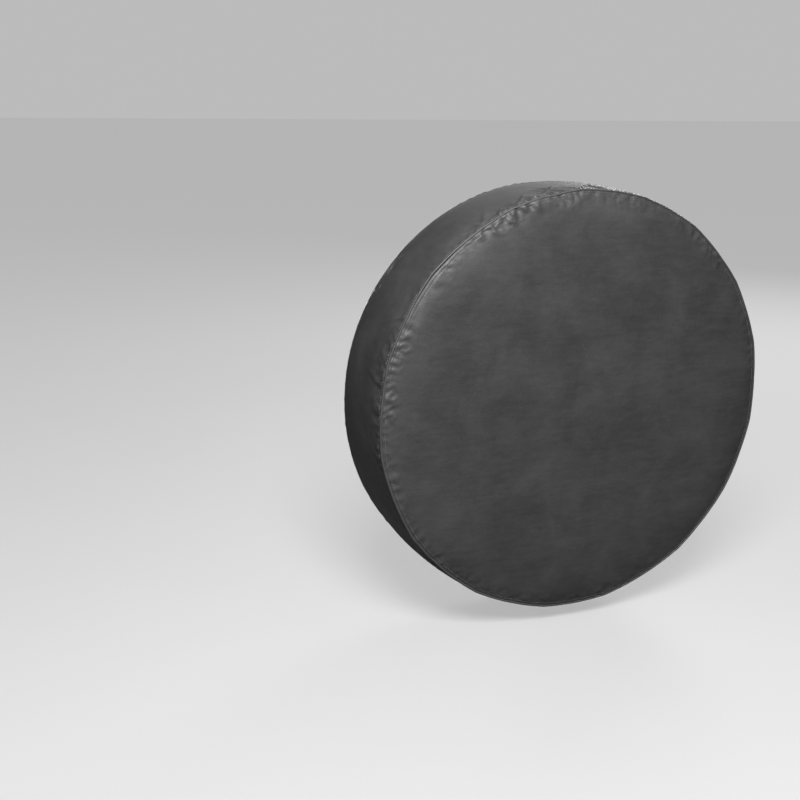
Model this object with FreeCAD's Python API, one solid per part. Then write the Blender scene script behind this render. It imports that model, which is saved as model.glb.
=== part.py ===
"""Spare tyre cover for a 33 inch tyre, sewn from coated fabric, with an elastic draw hem behind the tyre.

Frame: the wheel's axis is Y. The face is towards -Y, the vehicle side is towards +Y, +Z is up.
The origin is the centre of the tyre seat, on the wheel's axis. Millimetres.
"""
import FreeCAD, Part
import math
import os

V = FreeCAD.Vector

# ---- driving dimensions -------------------------------------------------------------
SEAT_R = 414.5          # inside radius of the band: a 33 inch tyre measures about 828 mm across
FABRIC_T = 1.2          # coated fabric
GAP = 0.1               # air between sewn layers

BAND_Y0 = -95.1         # front end of the band, at the seam allowance
BAND_Y1 = 98.5          # rear end of the band, at the fold
BAND_BEND_R = 1.2       # inside bend between band and its seam allowance
ALLOW_R = 401.6         # raw edge of the seam allowance
LAP_W = 20.0            # overlap where the band's two ends are joined
LAP_Y0, LAP_Y1 = -86.0, 88.0

PIPE_CORE_R = 1.6       # filler cord of the piping
PIPE_WRAP_T = 0.65      # strip wrapped round it
PIPE_FREE = 0.05
WRAP_SIDES = 18         # the strip lies round the cord in this many narrow facets

TAPE_T = 0.5            # binding tape over the raw edges
TAPE_LEG = 9.5

FACE_FLAT_R = 325.0     # flat middle of the face panel
FACE_RISE = 12.7        # how far the middle stands ahead of the seam
FACE_EDGE_R = 404.0     # where the face leaves the seam allowance

THREAD_R = 0.35
STITCH_OFF = 0.02       # thread lies this far off the cloth

N_RETURN = 16           # gathers of the rear return, each one body
RETURN_GAP = 1.0        # slit between neighbouring gathers
HINGE_R = 415.1
HINGE_Y = 98.8
RETURN_Y = 99.2         # front face of the return
RETURN_OUT_R = 413.7
HEM_IN_R = 299.0        # hem opening radius
HEM_OUT_R = 322.0
HEM_BACK_Y = 108.0      # rear face of the hem casing

CORD_R = 2.25           # elastic cord
CORD_RING_R = 308.0
CORD_Y = 103.2
TAIL_X = 7.0            # half the distance between the two tails
TAIL_Y = 114.0
TAIL_Z_END = -395.0
BEND_IN = 3.5           # cord bend inside the hem
BEND_OUT = 4.5          # cord bend outside the hem

EYELET_HOLE_R = 2.6
EYELET_BARREL_R = 3.1
EYELET_FLANGE_R = 5.0
EYELET_Z = -308.0

LOCK_Z = -330.0
LOCK_HALF_X, LOCK_HALF_Z = 14.0, 9.0
LOCK_Y0, LOCK_Y1 = 103.5, 121.5
LOCK_FLOOR_Y = 105.5
POCKET_HALF_X, POCKET_HALF_Z = 10.5, 6.0
BUTTON_HALF_X, BUTTON_HALF_Z = 10.35, 5.85
BUTTON_Y0, BUTTON_Y1 = 110.0, 127.0
BUTTON_TRAVEL = 4.0
SPRING_BORE_R = 3.2
SPRING_BORE_TOP_Y = 118.0
SPRING_WIRE_R = 0.3
SPRING_R = 2.5
SPRING_TURNS = 5.5

LABEL_W, LABEL_T = 34.0, 0.4
LABEL_R0, LABEL_R1 = 256.0, 306.0
LABEL_INDEX = 3         # which gather carries the care label

# ---- helpers ------------------------------------------------------------------------
AXIS_O, AXIS_D = V(0, 0, 0), V(0, -1, 0)   # turning about -Y takes +X to +Z


def edge_list(points):
    """Closed list of edges from (r, y) points; a ("arc", mid, end) entry makes an arc."""
    edges, here = [], points[0]
    for p in points[1:] + [points[0]]:
        if isinstance(p[0], str):
            mid, end = p[1], p[2]
            edges.append(Part.Arc(V(here[0], here[1], 0), V(mid[0], mid[1], 0), V(end[0], end[1], 0)).toShape())
            here = end
        else:
            if abs(p[0] - here[0]) > 1e-9 or abs(p[1] - here[1]) > 1e-9:
                edges.append(Part.makeLine(V(here[0], here[1], 0), V(p[0], p[1], 0)))
            here = p
    return edges


def face_of(points):
    return Part.Face(Part.Wire(edge_list(points)))


def lathe(face, start_deg=0.0, sweep_deg=360.0):
    solid = face.revolve(AXIS_O, AXIS_D, sweep_deg)
    if start_deg:
        solid.rotate(AXIS_O, AXIS_D, start_deg)
    return solid


def rect(r0, r1, y0, y1):
    return face_of([(r0, y0), (r1, y0), (r1, y1), (r0, y1)])


def box(x0, x1, y0, y1, z0, z1):
    return Part.makeBox(x1 - x0, y1 - y0, z1 - z0, V(x0, y0, z0))


def ring_thread(radius, y):
    return Part.makeTorus(radius, THREAD_R, V(0, y, 0), V(0, 1, 0))


def solid_of(shape):
    """The single solid inside a boolean's result."""
    return shape.Solids[0] if len(shape.Solids) == 1 else shape


os.makedirs("parts", exist_ok=True)
made = {}


def out(name, shape):
    for s in shape.Solids:
        if not s.isValid() or s.Volume <= 0:
            raise RuntimeError("bad solid in " + name)
    shape.exportStep("parts/" + name + ".step")
    made[name] = shape


# ---- band with its front seam allowance and the lap where its ends join ----------------
b = BAND_BEND_R
k = 1 - math.sqrt(0.5)
band_profile = [
    (SEAT_R, BAND_Y1),
    (SEAT_R, BAND_Y0 + b),
    ("arc", (SEAT_R - b * k, BAND_Y0 + b * k), (SEAT_R - b, BAND_Y0)),
    (ALLOW_R, BAND_Y0),
    (ALLOW_R, BAND_Y0 - FABRIC_T),
    (SEAT_R + FABRIC_T, BAND_Y0 - FABRIC_T),
    (SEAT_R + FABRIC_T, BAND_Y1),
]
# two half turns keep every wall face under a full revolution
band_face = face_of(band_profile)
band = lathe(band_face, 0, 180).fuse(lathe(band_face, 180, 180))
lap_deg = math.degrees(LAP_W / SEAT_R)
lap = lathe(rect(SEAT_R + 0.4, SEAT_R + 2 * FABRIC_T, LAP_Y0, LAP_Y1), -90 - lap_deg / 2, lap_deg)
band = solid_of(band.fuse(lap).removeSplitter())
out("side_band", band)

# ---- piping: filler cord, and the strip folded round it with its two-layer flange -----
strip_y1 = BAND_Y0 - FABRIC_T - GAP
strip_y0 = strip_y1 - 2 * 0.6
pipe_y = (strip_y0 + strip_y1) / 2
pipe_out = PIPE_CORE_R + PIPE_FREE + PIPE_WRAP_T
pipe_r = SEAT_R + FABRIC_T + GAP + pipe_out


def disc(r, y, radius):
    return Part.Face(Part.Wire([Part.makeCircle(radius, V(r, y, 0), V(0, 0, 1))]))


out("piping_cord", lathe(disc(pipe_r, pipe_y, PIPE_CORE_R)))
neck = math.asin((strip_y1 - strip_y0) / 2 / pipe_out)      # half angle of the flange where it leaves the wrap
wrap = [(ALLOW_R, strip_y0)]
for i in range(WRAP_SIDES + 1):
    a = math.pi + neck + (2 * math.pi - 2 * neck) * i / WRAP_SIDES
    wrap.append((pipe_r + pipe_out * math.cos(a), pipe_y + pipe_out * math.sin(a)))
wrap.append((ALLOW_R, strip_y1))
bore = (PIPE_CORE_R + PIPE_FREE) / math.cos(math.pi / WRAP_SIDES)
hollow = [(pipe_r + bore * math.cos(2 * math.pi * i / WRAP_SIDES), pipe_y + bore * math.sin(2 * math.pi * i / WRAP_SIDES))
          for i in range(WRAP_SIDES)]
out("piping_strip", solid_of(lathe(face_of(wrap).cut(face_of(hollow)).Faces[0])))

# ---- binding tape folded over the raw edges -------------------------------------------
tape_front = strip_y0 - GAP
tape_back = BAND_Y0 + GAP
tape = face_of([
    (ALLOW_R - GAP, tape_back), (ALLOW_R - GAP, tape_front),
    (ALLOW_R - GAP + TAPE_LEG, tape_front), (ALLOW_R - GAP + TAPE_LEG, tape_front - TAPE_T),
    (ALLOW_R - GAP - TAPE_T, tape_front - TAPE_T), (ALLOW_R - GAP - TAPE_T, tape_back + TAPE_T),
    (ALLOW_R - GAP + TAPE_LEG, tape_back + TAPE_T), (ALLOW_R - GAP + TAPE_LEG, tape_back),
])
out("seam_binding", lathe(tape))

# ---- face panel: flat middle, domed edge, flat rim on the seam allowance ---------------
rim_y1 = tape_front - TAPE_T - GAP
rim_y0 = rim_y1 - FABRIC_T
mid_y0 = rim_y0 - FACE_RISE
edge_arc = FACE_EDGE_R - FACE_FLAT_R
dome_r = (edge_arc ** 2 + FACE_RISE ** 2) / (2 * FACE_RISE)


def dome(y_top, x_edge, y_edge):
    """Middle and end of an arc that leaves the flat middle on its tangent."""
    dx, dy = x_edge - FACE_FLAT_R, y_edge - y_top
    rad = (dx * dx + dy * dy) / (2 * dy)
    a = math.asin(dx / rad)
    mid = (FACE_FLAT_R + rad * math.sin(a / 2), y_top + rad * (1 - math.cos(a / 2)))
    return mid, (x_edge, y_edge)


mo, eo = dome(mid_y0, FACE_EDGE_R, rim_y0)
mi, ei = dome(mid_y0 + FABRIC_T, FACE_EDGE_R - 0.4, rim_y1)
face_profile = [
    (0, mid_y0), (FACE_FLAT_R, mid_y0), ("arc", mo, eo), (SEAT_R + FABRIC_T, rim_y0),
    (SEAT_R + FABRIC_T, rim_y1), ei,
]
edges = edge_list(face_profile[:3] + [(SEAT_R + FABRIC_T, rim_y0), (SEAT_R + FABRIC_T, rim_y1), ei])[:-1]
edges.append(Part.Arc(V(ei[0], ei[1], 0), V(mi[0], mi[1], 0), V(FACE_FLAT_R, mid_y0 + FABRIC_T, 0)).toShape())
edges.append(Part.makeLine(V(FACE_FLAT_R, mid_y0 + FABRIC_T, 0), V(0, mid_y0 + FABRIC_T, 0)))
edges.append(Part.makeLine(V(0, mid_y0 + FABRIC_T, 0), V(0, mid_y0, 0)))
out("face_panel", lathe(Part.Face(Part.Wire(edges))))

# ---- seams: each row of lockstitch as one thread ---------------------------------------
lift = THREAD_R + STITCH_OFF
out("face_topstitch", ring_thread(409.0, rim_y0 - lift))
out("band_front_topstitch", ring_thread(SEAT_R + FABRIC_T + lift, -90.0))
out("band_rear_topstitch", ring_thread(SEAT_R + FABRIC_T + lift, 93.0))
rows = []
for off in (-6.5, 6.5):
    a = math.radians(-90) + off / (SEAT_R + 2 * FABRIC_T)
    rr = SEAT_R + 2 * FABRIC_T + lift
    rows.append(Part.makeCylinder(THREAD_R, LAP_Y1 - LAP_Y0 - 4, V(rr * math.cos(a), LAP_Y0 + 2, rr * math.sin(a)), V(0, 1, 0)))
out("band_join_stitches", Part.makeCompound(rows))

# ---- rear return: one gather after another, each with its length of hem casing ---------
plate_back = RETURN_Y + FABRIC_T
hem = [
    (RETURN_OUT_R, RETURN_Y), (HEM_IN_R + 1.5, RETURN_Y), (HEM_IN_R, RETURN_Y + 1.5),
    (HEM_IN_R, HEM_BACK_Y - 2), (HEM_IN_R + 2, HEM_BACK_Y), (315.0, HEM_BACK_Y),
    (HEM_OUT_R, plate_back), (RETURN_OUT_R, plate_back),
]
tunnel = [
    (HEM_IN_R + 2, plate_back), (HEM_IN_R + 1.2, plate_back + 0.8), (HEM_IN_R + 1.2, HEM_BACK_Y - 2.2),
    (HEM_IN_R + 2.4, HEM_BACK_Y - FABRIC_T), (314.4, HEM_BACK_Y - FABRIC_T), (319.6, plate_back + 0.6), (319.6, plate_back),
]
gather_face = face_of(hem).cut(face_of(tunnel)).Faces[0]
step = 360.0 / N_RETURN
gap_deg = math.degrees(RETURN_GAP / 356.0)
for i in range(N_RETURN):
    mid = -90.0 + i * step
    g = lathe(gather_face, mid - (step - gap_deg) / 2, step - gap_deg)
    if i == 0:      # the bottom gather has the two eyelet holes
        for sx in (-1, 1):
            g = g.cut(Part.makeCylinder(EYELET_BARREL_R + 0.05, 4.0, V(sx * TAIL_X, HEM_BACK_Y - 2.5, EYELET_Z), V(0, 1, 0)))
        g = solid_of(g)
    out("rear_return_%02d" % (i + 1), g)

# ---- eyelets and their washers ----------------------------------------------------------
shells, washers = [], []
for sx in (-1, 1):
    c = V(sx * TAIL_X, 0, EYELET_Z)
    barrel = Part.makeCylinder(EYELET_BARREL_R, 2.1, c + V(0, HEM_BACK_Y - 2.0, 0), V(0, 1, 0))
    flange = Part.makeCylinder(EYELET_FLANGE_R, 0.6, c + V(0, HEM_BACK_Y + 0.02, 0), V(0, 1, 0))
    e = barrel.fuse(flange).cut(Part.makeCylinder(EYELET_HOLE_R, 6, c + V(0, HEM_BACK_Y - 4, 0), V(0, 1, 0)))
    shells.append(e.removeSplitter().Solids[0])
    w = Part.makeCylinder(EYELET_FLANGE_R, 0.5, c + V(0, HEM_BACK_Y - FABRIC_T - 0.55, 0), V(0, 1, 0))
    w = w.cut(Part.makeCylinder(EYELET_BARREL_R + 0.03, 3, c + V(0, HEM_BACK_Y - 4, 0), V(0, 1, 0)))
    washers.append(w.Solids[0])
out("hem_eyelets", Part.makeCompound(shells))
out("eyelet_washers", Part.makeCompound(washers))

# ---- elastic cord: round the hem, out through both eyelets, down to the end caps ------
phi = math.asin((TAIL_X + BEND_IN) / CORD_RING_R)      # where the ring ends and the bend to the eyelet starts
x_bend, z_ring = CORD_RING_R * math.sin(phi), -CORD_RING_R * math.cos(phi)
y_in = CORD_Y + BEND_IN
y_turn = TAIL_Y - BEND_OUT
c45 = math.sqrt(0.5)


def tail(sx):
    """Edges from the ring's end to the tail's end on one side, each tangent to the one before."""
    a = V(sx * x_bend, CORD_Y, z_ring)
    t = V(-sx * math.cos(phi), 0, -math.sin(phi))      # along the ring, towards the eyelet
    up = V(0, 1, 0)
    b = a + t * BEND_IN + up * BEND_IN
    e1 = Part.Arc(a, a + t * (BEND_IN * c45) + up * (BEND_IN * (1 - c45)), b).toShape()
    c = V(b.x, y_turn, b.z)
    e2 = Part.makeLine(b, c)
    d = V(b.x, TAIL_Y, b.z - BEND_OUT)
    e3 = Part.Arc(c, V(b.x, y_turn + BEND_OUT * c45, b.z - BEND_OUT * (1 - c45)), d).toShape()
    e4 = Part.makeLine(d, V(b.x, TAIL_Y, TAIL_Z_END))
    return [e1, e2, e3, e4], a, t


loop = lathe(disc(CORD_RING_R, CORD_Y, CORD_R), -90 + math.degrees(phi), 360 - 2 * math.degrees(phi))
cord = loop
for sx in (-1, 1):
    run, a, t = tail(sx)
    cord = cord.fuse(Part.Wire(run).makePipeShell([Part.Wire([Part.makeCircle(CORD_R, a, t)])], True, False))
print("cord", cord.isValid(), len(cord.Solids))
out("elastic_cord", solid_of(cord))

# ---- cord lock: body, button, spring; and the caps on the cord ends --------------------
body = box(-LOCK_HALF_X, LOCK_HALF_X, LOCK_Y0, LOCK_Y1, LOCK_Z - LOCK_HALF_Z, LOCK_Z + LOCK_HALF_Z)
body = body.makeFillet(4.0, [e for e in body.Edges if abs(e.Vertexes[0].Y - e.Vertexes[1].Y) > 1])
body = body.makeFillet(1.2, [e for e in body.Edges if all(abs(v.Y - LOCK_Y0) < 1e-6 or abs(v.Y - LOCK_Y1) < 1e-6 for v in e.Vertexes) and abs(e.Vertexes[0].Y - e.Vertexes[-1].Y) < 1e-6 and e.BoundBox.YLength < 1e-3])
pocket = box(-POCKET_HALF_X, POCKET_HALF_X, LOCK_FLOOR_Y, LOCK_Y1 + 5, LOCK_Z - POCKET_HALF_Z, LOCK_Z + POCKET_HALF_Z)
pocket = pocket.makeFillet(2.0, [e for e in pocket.Edges if abs(e.Vertexes[0].Y - e.Vertexes[1].Y) > 1])
body = body.cut(pocket)
for sx in (-1, 1):
    body = body.cut(Part.makeCylinder(CORD_R + 0.3, 40, V(sx * TAIL_X, TAIL_Y, LOCK_Z - 20), V(0, 0, 1)))
out("cord_lock_body", solid_of(body))

button = box(-BUTTON_HALF_X, BUTTON_HALF_X, BUTTON_Y0, BUTTON_Y1, LOCK_Z - BUTTON_HALF_Z, LOCK_Z + BUTTON_HALF_Z)
button = button.makeFillet(1.85, [e for e in button.Edges if abs(e.Vertexes[0].Y - e.Vertexes[1].Y) > 1])
button = button.makeFillet(1.2, [e for e in button.Edges if e.BoundBox.YLength < 1e-3 and abs(e.Vertexes[0].Y - BUTTON_Y1) < 1e-6])
for sx in (-1, 1):
    slot = box(sx * TAIL_X - CORD_R - 0.25, sx * TAIL_X + CORD_R + 0.25, TAIL_Y - CORD_R - 0.05, TAIL_Y + CORD_R + BUTTON_TRAVEL + 0.3, LOCK_Z - 20, LOCK_Z + 20)
    slot = slot.makeFillet(1.2, [e for e in slot.Edges if abs(e.Vertexes[0].Z - e.Vertexes[1].Z) > 1])
    button = button.cut(slot)
button = button.cut(Part.makeCylinder(SPRING_BORE_R, SPRING_BORE_TOP_Y - BUTTON_Y0 + 1, V(0, BUTTON_Y0 - 1, LOCK_Z), V(0, 1, 0)))
out("cord_lock_button", solid_of(button))

spring_len = SPRING_BORE_TOP_Y - LOCK_FLOOR_Y - 2 * SPRING_WIRE_R - 0.1
helix = Part.makeHelix(spring_len / SPRING_TURNS, spring_len, SPRING_R)
start = helix.Edges[0].valueAt(helix.Edges[0].FirstParameter)
dirn = helix.Edges[0].tangentAt(helix.Edges[0].FirstParameter)
coil = Part.Wire(helix.Edges).makePipeShell([Part.Wire([Part.makeCircle(SPRING_WIRE_R, start, dirn)])], True, True)
coil.rotate(V(0, 0, 0), V(1, 0, 0), -90)
coil.translate(V(0, LOCK_FLOOR_Y + SPRING_WIRE_R + 0.05, LOCK_Z))
out("cord_lock_spring", coil)

caps = []
for sx in (-1, 1):
    c = Part.makeCone(4.1, 3.2, 12, V(sx * TAIL_X, TAIL_Y, TAIL_Z_END - 3.0), V(0, 0, 1))
    c = c.makeFillet(0.8, [e for e in c.Edges if e.BoundBox.ZLength < 1e-3 and abs(e.BoundBox.ZMin - (TAIL_Z_END - 3.0)) < 1e-6])
    c = c.cut(Part.makeCylinder(CORD_R + 0.05, 20, V(sx * TAIL_X, TAIL_Y, TAIL_Z_END - 0.05), V(0, 0, 1)))
    caps.append(solid_of(c))
out("cord_end_caps", Part.makeCompound(caps))

# ---- care label sewn under the hem ------------------------------------------------------
label = box(-LABEL_W / 2, LABEL_W / 2, RETURN_Y - 0.1 - LABEL_T, RETURN_Y - 0.1, LABEL_R0, LABEL_R1)
label.rotate(AXIS_O, AXIS_D, -90.0 + (LABEL_INDEX - 1) * step - 90.0)
out("care_label", label)

for n, s in sorted(made.items()):
    bb = s.BoundBox
    print("%-24s solids %d  vol %10.1f  x %7.1f %7.1f  y %7.1f %7.1f  z %7.1f %7.1f" % (n, len(s.Solids), s.Volume, bb.XMin, bb.XMax, bb.YMin, bb.YMax, bb.ZMin, bb.ZMax))
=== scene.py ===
"""Spare tyre cover: the looks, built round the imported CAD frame.

Frame: wheel axis Y, face towards -Y, vehicle side +Y, +Z up. Shapes are worked out in millimetres and stored in metres.
Angles are measured round the wheel's axis from +X towards +Z.
"""
import math

import bpy
import numpy as np
from mathutils import Vector, Matrix


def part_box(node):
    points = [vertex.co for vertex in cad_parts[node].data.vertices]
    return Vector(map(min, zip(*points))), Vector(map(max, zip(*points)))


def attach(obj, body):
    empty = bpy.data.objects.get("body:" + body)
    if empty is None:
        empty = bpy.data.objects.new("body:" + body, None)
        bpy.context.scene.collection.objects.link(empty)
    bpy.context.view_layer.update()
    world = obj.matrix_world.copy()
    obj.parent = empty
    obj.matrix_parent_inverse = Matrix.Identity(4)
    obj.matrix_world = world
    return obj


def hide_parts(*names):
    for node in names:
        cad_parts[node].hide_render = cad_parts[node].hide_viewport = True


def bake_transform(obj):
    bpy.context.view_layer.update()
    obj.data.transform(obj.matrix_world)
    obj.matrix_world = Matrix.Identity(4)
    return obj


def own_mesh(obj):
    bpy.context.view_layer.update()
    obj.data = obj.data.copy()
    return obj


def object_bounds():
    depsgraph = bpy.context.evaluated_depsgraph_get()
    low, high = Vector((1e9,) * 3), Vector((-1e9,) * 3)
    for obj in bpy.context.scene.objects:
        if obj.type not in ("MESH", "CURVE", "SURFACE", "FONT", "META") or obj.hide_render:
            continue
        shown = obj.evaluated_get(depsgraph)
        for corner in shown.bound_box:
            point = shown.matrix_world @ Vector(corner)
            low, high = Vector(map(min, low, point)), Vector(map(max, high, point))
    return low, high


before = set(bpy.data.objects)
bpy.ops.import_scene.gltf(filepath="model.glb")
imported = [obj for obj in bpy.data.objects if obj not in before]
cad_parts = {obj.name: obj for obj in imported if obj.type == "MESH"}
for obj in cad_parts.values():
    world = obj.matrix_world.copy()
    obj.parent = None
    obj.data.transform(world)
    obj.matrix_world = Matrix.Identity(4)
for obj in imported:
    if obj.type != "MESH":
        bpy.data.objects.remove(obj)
cad_lo, cad_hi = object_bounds()
MM = 0.001
TAU = 2 * math.pi

# ------------------------------------------------------------------ sizes taken from the CAD frame
_, band_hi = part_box("side_band")
band_lo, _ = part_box("side_band")
BAND_OUT = 415.7                    # outside of the band at its edges
REAR_Y = band_hi.y / MM             # rear end of the band, 98.5
PIPE_R, PIPE_Y, PIPE_RAD = 418.1, -97.0, 2.3
HINGE_R, HINGE_Y = 415.1, 98.8
N_RETURN = 16
CORD_RING, CORD_Y, CORD_RAD = 308.0, 103.2, 2.25
CROWN = 6.7                         # how far the tread pushes the middle of the band out
NTH = 600                           # columns round the cover


# ------------------------------------------------------------------ small tools
def smooth(x):
    x = np.clip(x, 0, 1)
    return x * x * (3 - 2 * x)


def lattice(seed, nu, nv=1):
    return np.random.default_rng(seed).uniform(-1, 1, (nu, nv))


def noise2(tab, u, v):
    """Smooth noise on a lattice that repeats in both directions."""
    nu, nv = tab.shape
    iu, iv = np.floor(u).astype(int), np.floor(v).astype(int)
    fu, fv = u - iu, v - iv
    su, sv = fu * fu * fu * (fu * (fu * 6 - 15) + 10), fv * fv * fv * (fv * (fv * 6 - 15) + 10)
    a, b = tab[iu % nu, iv % nv], tab[(iu + 1) % nu, iv % nv]
    c, d = tab[iu % nu, (iv + 1) % nv], tab[(iu + 1) % nu, (iv + 1) % nv]
    return (a * (1 - su) + b * su) * (1 - sv) + (c * (1 - su) + d * su) * sv


def ring_noise(seed, cells):
    tab = lattice(seed, cells)
    return lambda th: noise2(tab, (np.asarray(th) / TAU % 1.0) * cells, np.zeros_like(np.asarray(th, float)))


def polar(r, th, y):
    return np.stack([r * np.cos(th), y + 0 * th, r * np.sin(th)], -1)


def make_mesh(name, co, groups, mats, smooth_shade=True, mat_index=None):
    """A mesh object from points in mm and lists of faces, each list an (n, k) array."""
    me = bpy.data.meshes.new(name)
    co = np.ascontiguousarray(np.asarray(co, float).reshape(-1, 3) * MM, dtype=np.float32)
    me.vertices.add(len(co))
    me.vertices.foreach_set("co", co.ravel())
    groups = [np.asarray(g, np.int32) for g in groups if len(g)]
    idx = np.concatenate([g.ravel() for g in groups])
    tot = np.concatenate([np.full(len(g), g.shape[1], np.int32) for g in groups])
    start = np.concatenate([[0], np.cumsum(tot)[:-1]]).astype(np.int32)
    me.loops.add(len(idx))
    me.loops.foreach_set("vertex_index", idx)
    me.polygons.add(len(tot))
    me.polygons.foreach_set("loop_start", start)
    me.polygons.foreach_set("loop_total", tot)
    me.update(calc_edges=True)
    me.validate()
    for m in mats:
        me.materials.append(m)
    if mat_index is not None:
        me.polygons.foreach_set("material_index", np.asarray(mat_index, np.int32))
    me.polygons.foreach_set("use_smooth", np.full(len(me.polygons), smooth_shade))
    ob = bpy.data.objects.new(name, me)
    bpy.context.scene.collection.objects.link(ob)
    return ob


def grid_faces(rows, cols, wrap=True, base=0):
    """Faces of a grid of rows by cols points; with wrap the last column joins the first."""
    m = np.arange(rows - 1)[:, None]
    k = np.arange(cols if wrap else cols - 1)[None, :]
    kn = (k + 1) % cols
    q = np.stack([m * cols + k, (m + 1) * cols + k, (m + 1) * cols + kn, m * cols + kn], -1)
    return q.reshape(-1, 4) + base


def path_normals(path):
    """Outward normals of an (r, y) path, to the right of its run when seen with r up."""
    t = np.gradient(path, axis=0)
    t /= np.linalg.norm(t, axis=1)[:, None]
    return np.stack([t[:, 1], -t[:, 0]], -1)


def thicken(ob, mm, inner=0, rim=0):
    """Cloth thickness inwards from the modelled outer face."""
    s = ob.modifiers.new("cloth_thickness", "SOLIDIFY")
    s.thickness, s.offset = mm * MM, -1
    s.use_quality_normals = True
    s.material_offset, s.material_offset_rim = inner, rim
    return ob


def cloth_sheet(name, rows, hold, slack, swell, frames, cap, keep=1.0, bend=0.25, push=0.0):
    """A cloth simulation on a ring-shaped sheet of rows by columns points in mm.

    hold is 1 where the sheet is sewn or held, slack is 1 where there is more cloth than room, by the share swell, so
    that the sheet buckles there. No point moves further than cap, and keep fades the moves out. The moved rows come back and nothing stays in the scene.
    """
    nr, nc, _ = rows.shape
    ob = make_mesh(name, rows, [grid_faces(nr, nc)], [])
    for group, weight in (("hold", hold), ("tight", 1 - slack)):
        vg = ob.vertex_groups.new(name=group)
        q = np.round(np.broadcast_to(weight, (nr, nc)).ravel() * 20).astype(int)
        for level in range(0, 21):
            idx = np.nonzero(q == level)[0]
            if len(idx):
                vg.add(idx.tolist(), level / 20.0, "REPLACE")
    mod = ob.modifiers.new("cloth", "CLOTH")
    cs = mod.settings
    cs.quality = 5
    cs.mass = 0.12
    cs.tension_stiffness, cs.compression_stiffness, cs.shear_stiffness, cs.bending_stiffness = 18, 18, 6, bend
    cs.tension_damping, cs.compression_damping, cs.shear_damping, cs.bending_damping = 6, 6, 6, 0.6
    cs.air_damping = 3
    cs.effector_weights.gravity = 0
    cs.vertex_group_mass = "hold"
    cs.vertex_group_shrink = "tight"
    cs.shrink_min = -swell                      # where the tight weight is 0 the cloth is this share too big
    cs.shrink_max = 0.0
    if push:
        cs.use_pressure = True
        cs.uniform_pressure_force = push
    mod.collision_settings.use_collision = False
    mod.point_cache.frame_start, mod.point_cache.frame_end = 1, frames
    scene = bpy.context.scene
    scene.frame_start, scene.frame_end = 1, max(frames, 2)
    for f in range(1, frames + 1):
        scene.frame_set(f)
    ev = ob.evaluated_get(bpy.context.evaluated_depsgraph_get())
    out = np.zeros(nr * nc * 3, np.float32)
    ev.data.vertices.foreach_get("co", out)
    out = out.reshape(nr, nc, 3).astype(float) / MM
    me = ob.data
    bpy.data.objects.remove(ob)
    bpy.data.meshes.remove(me)
    scene.frame_set(1)
    move = out - rows
    # round the cover, keep the puckers and take out the even swelling of the whole ring
    c, sn = np.cos(TH)[None, :], np.sin(TH)[None, :]
    local = np.stack([move[..., 0] * c + move[..., 2] * sn, move[..., 1], move[..., 2] * c - move[..., 0] * sn], -1)
    f = np.fft.rfft(local, axis=1)
    f *= smooth((np.arange(f.shape[1]) - 8.0) / 14.0)[None, :, None]
    local = np.fft.irfft(f, n=nc, axis=1)
    move = np.stack([local[..., 0] * c - local[..., 2] * sn, local[..., 1], local[..., 0] * sn + local[..., 2] * c], -1)
    size = np.linalg.norm(move, axis=2, keepdims=True)
    print("cloth", name, "moved up to %.2f mm, mean %.2f" % (size.max(), size.mean()))
    move *= np.where(size > cap, cap / np.maximum(size, 1e-9), 1.0)
    return rows + move * (np.broadcast_to(keep, (nr, nc)) * (1 - np.broadcast_to(hold, (nr, nc))))[..., None]


def tube(points, radius, sides=10, closed=False, up=None, ripple=None):
    """Points and faces of a tube round a line, with flat end caps when it is open."""
    p = np.asarray(points, float)
    n = len(p)
    t = (np.roll(p, -1, 0) - np.roll(p, 1, 0)) if closed else np.gradient(p, axis=0)
    t /= np.linalg.norm(t, axis=1)[:, None]
    ref = np.array([0, 1, 0], float) if up is None else np.asarray(up, float)
    a = np.cross(t, ref)
    bad = np.linalg.norm(a, axis=1) < 0.2
    if bad.any():
        a[bad] = np.cross(t[bad], [1.0, 0, 0])
    # carry the side direction along the line, so that the tube doesn't twist
    a /= np.linalg.norm(a, axis=1)[:, None]
    for i in range(1, n):
        v = a[i - 1] - t[i] * (a[i - 1] @ t[i])
        a[i] = v / np.linalg.norm(v) if not closed else a[i]
    b = np.cross(t, a)
    rad = np.broadcast_to(np.asarray(radius, float), (n,)).copy()
    ang = np.arange(sides) * TAU / sides
    rr = rad[:, None] * (1 if ripple is None else ripple(np.arange(n)[:, None], ang[None, :]))
    rr = np.broadcast_to(rr, (n, sides))
    ring = p[:, None, :] + rr[..., None] * (np.cos(ang)[None, :, None] * a[:, None, :] + np.sin(ang)[None, :, None] * b[:, None, :])
    co = ring.reshape(-1, 3)
    k = np.arange(sides)
    rows = np.arange(n if closed else n - 1)[:, None]
    nxt = (rows + 1) % n
    kn = (k + 1) % sides
    quads = np.stack([rows * sides + k[None, :], rows * sides + kn[None, :], nxt * sides + kn[None, :], nxt * sides + k[None, :]], -1).reshape(-1, 4)
    caps = [] if closed else [np.arange(sides)[::-1], (n - 1) * sides + np.arange(sides)]
    return co, quads, caps


def tube_object(name, points, radius, mats, sides=10, closed=False, up=None, ripple=None):
    co, quads, caps = tube(points, radius, sides, closed, up, ripple)
    return make_mesh(name, co, [quads] + ([np.array(caps)] if len(caps) else []), mats)


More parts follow.
